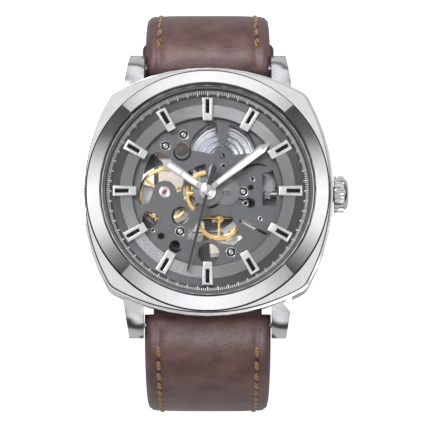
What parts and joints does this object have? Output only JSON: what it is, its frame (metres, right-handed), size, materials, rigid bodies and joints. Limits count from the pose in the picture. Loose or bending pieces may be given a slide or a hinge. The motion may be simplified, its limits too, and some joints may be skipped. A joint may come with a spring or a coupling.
{
  "type": "wristwatch",
  "caption": "Skeleton-dial automatic wristwatch with a cushion case, faceted bezel, fluted crown and an open two-piece leather strap with a pin buckle.",
  "frame": {"origin": "centre of the case back's outer face, under the hands' axis", "axes": "+Z out through the crystal, +X towards the crown at 3 o'clock, +Y towards 12 o'clock"},
  "size_m": [0.0457, 0.0702, 0.0726],
  "materials": {
    "polished_steel": "mirror-polished stainless steel",
    "brushed_steel": "brushed stainless steel",
    "dial_metal": "vertically brushed grey nickel",
    "chapter_grey": "satin grey lacquer with printed minute ticks",
    "gilt": "gilt brass",
    "blued_steel": "blued spring steel",
    "spacer": "satin machined ring",
    "ruby": "polished synthetic ruby",
    "sapphire": "clear polished sapphire",
    "gasket": "black nylon ring",
    "leather": "smooth purple-brown calf leather with tan stitching"
  },
  "bodies": {
    "head": {"case_middle": "polished_steel", "bezel": "polished_steel", "crystal": "sapphire", "crystal_gasket": "gasket", "chapter_ring": "chapter_grey", "dial_ring": "dial_metal", "hour_marker_1": "polished_steel", "hour_marker_2": "polished_steel", "hour_marker_3": "polished_steel", "hour_marker_4": "polished_steel", "hour_marker_5": "polished_steel", "hour_marker_6": "polished_steel", "hour_marker_7": "polished_steel", "hour_marker_8": "polished_steel", "hour_marker_9": "polished_steel", "hour_marker_10": "polished_steel", "hour_marker_11": "polished_steel", "hour_marker_12": "polished_steel", "case_back_ring": "brushed_steel", "case_back_glass": "sapphire", "movement_holder": "spacer", "crown_tube": "brushed_steel", "main_plate": "dial_metal", "train_bridge": "brushed_steel", "balance_cock": "brushed_steel", "balance_jewel": "ruby", "rotor_bearing": "polished_steel", "spring_bar_12": "brushed_steel", "spring_bar_6": "brushed_steel"},
    "keyless": {"winding_pinion": "brushed_steel"},
    "crown": {"crown": "polished_steel", "winding_stem": "brushed_steel"},
    "crown_gear": {"crown_wheel": "brushed_steel"},
    "ratchet": {"ratchet_wheel": "brushed_steel", "barrel_arbor": "brushed_steel"},
    "click": {"click": "brushed_steel"},
    "barrel": {"barrel_drum": "brushed_steel", "mainspring": "blued_steel"},
    "minutes": {"centre_wheel": "gilt", "cannon_pinion": "brushed_steel", "minute_hand": "polished_steel"},
    "third": {"third_wheel": "gilt"},
    "seconds": {"fourth_wheel": "gilt", "second_hand": "polished_steel"},
    "escape": {"escape_wheel": "brushed_steel"},
    "fork": {"pallet_fork": "brushed_steel"},
    "balance": {"balance_wheel": "gilt", "hairspring": "blued_steel"},
    "minute_gear": {"minute_wheel": "brushed_steel"},
    "hours": {"hour_wheel": "brushed_steel", "hour_hand": "polished_steel"},
    "rotor": {"rotor": "brushed_steel"},
    "strap_12": {"strap_12": "leather", "fixed_keeper": "leather"},
    "strap_6": {"strap_6": "leather"},
    "buckle": {"buckle_frame": "polished_steel", "buckle_bar": "brushed_steel"},
    "tongue": {"buckle_tongue": "polished_steel"},
    "keeper": {"free_keeper": "leather"}
  },
  "joints": [
    {"name": "crown_turn", "type": "hinge", "parent": "head", "child": "keyless", "pos_m": [0, 0, 0.0053], "axis": [1, 0, 0], "continuous": true},
    {"name": "crown_pull", "type": "slide", "parent": "keyless", "child": "crown", "axis": [1, 0, 0], "range_m": [0, 0.0015]},
    {"name": "crown_wheel_turn", "type": "hinge", "parent": "head", "child": "crown_gear", "pos_m": [0.00816, 0.00291, 0.0043], "axis": [0, 0, 1], "continuous": true},
    {"name": "ratchet_turn", "type": "hinge", "parent": "head", "child": "ratchet", "pos_m": [0.0025, 0.0063, 0.0043], "axis": [0, 0, 1], "continuous": true},
    {"name": "click_lift", "type": "hinge", "parent": "head", "child": "click", "pos_m": [-0.00126, 0.00911, 0.0043], "axis": [0, 0, 1], "range_deg": [0, 8], "stiffness_Nm_per_rad": 0.00000001, "springref_deg": -5.73},
    {"name": "barrel_turn", "type": "hinge", "parent": "head", "child": "barrel", "pos_m": [0.0025, 0.0063, 0.005], "axis": [0, 0, -1], "continuous": true},
    {"name": "seconds_turn", "type": "hinge", "parent": "head", "child": "seconds", "pos_m": [0, 0, 0.004], "axis": [0, 0, -1], "continuous": true},
    {"name": "minutes_turn", "type": "hinge", "parent": "head", "child": "minutes", "pos_m": [0, 0, 0.006], "axis": [0, 0, -1], "continuous": true},
    {"name": "third_turn", "type": "hinge", "parent": "head", "child": "third", "pos_m": [0.00194, -0.00406, 0.005], "axis": [0, 0, -1], "continuous": true},
    {"name": "escape_turn", "type": "hinge", "parent": "head", "child": "escape", "pos_m": [-0.00321, -0.00279, 0.005], "axis": [0, 0, -1], "continuous": true},
    {"name": "minute_gear_turn", "type": "hinge", "parent": "head", "child": "minute_gear", "pos_m": [0.0032, 0, 0.008], "axis": [0, 0, -1], "continuous": true},
    {"name": "hours_turn", "type": "hinge", "parent": "head", "child": "hours", "pos_m": [0, 0, 0.0085], "axis": [0, 0, -1], "continuous": true},
    {"name": "fork_rock", "type": "hinge", "parent": "head", "child": "fork", "pos_m": [-0.00512, -0.00151, 0.0045], "axis": [0, 0, 1], "range_deg": [-6, 6]},
    {"name": "balance_swing", "type": "hinge", "parent": "head", "child": "balance", "pos_m": [-0.00736, 0, 0.005], "axis": [0, 0, 1], "range_deg": [-270, 270], "stiffness_Nm_per_rad": 0.0000006},
    {"name": "rotor_turn", "type": "hinge", "parent": "head", "child": "rotor", "pos_m": [0, 0, 0.0025], "axis": [0, 0, 1], "continuous": true},
    {"name": "strap_12_swing", "type": "hinge", "parent": "head", "child": "strap_12", "pos_m": [0, 0.02245, 0.003], "axis": [1, 0, 0], "range_deg": [0, 60]},
    {"name": "strap_6_swing", "type": "hinge", "parent": "head", "child": "strap_6", "pos_m": [0, -0.02245, 0.003], "axis": [-1, 0, 0], "range_deg": [0, 60]},
    {"name": "buckle_swing", "type": "hinge", "parent": "strap_12", "child": "buckle", "pos_m": [0, 0.0085, -0.0475], "axis": [1, 0, 0], "range_deg": [-45, 45]},
    {"name": "tongue_swing", "type": "hinge", "parent": "buckle", "child": "tongue", "pos_m": [0, 0.0085, -0.0475], "axis": [1, 0, 0], "range_deg": [0, 90]},
    {"name": "keeper_slide", "type": "slide", "parent": "strap_12", "child": "keeper", "axis": [0, 0.4738, 0.8806], "range_m": [-0.0025, 0.0025]}
  ],
  "couplings": [
    {"joint": "crown_wheel_turn", "follows": "crown_turn", "ratio": 0.36364},
    {"joint": "ratchet_turn", "follows": "crown_turn", "ratio": -0.54546},
    {"joint": "third_turn", "follows": "seconds_turn", "ratio": -0.13333},
    {"joint": "minutes_turn", "follows": "seconds_turn", "ratio": 0.016667},
    {"joint": "barrel_turn", "follows": "seconds_turn", "ratio": -0.0027778},
    {"joint": "escape_turn", "follows": "seconds_turn", "ratio": -10},
    {"joint": "minute_gear_turn", "follows": "seconds_turn", "ratio": -0.0055556},
    {"joint": "hours_turn", "follows": "seconds_turn", "ratio": 0.0013889}
  ]
}
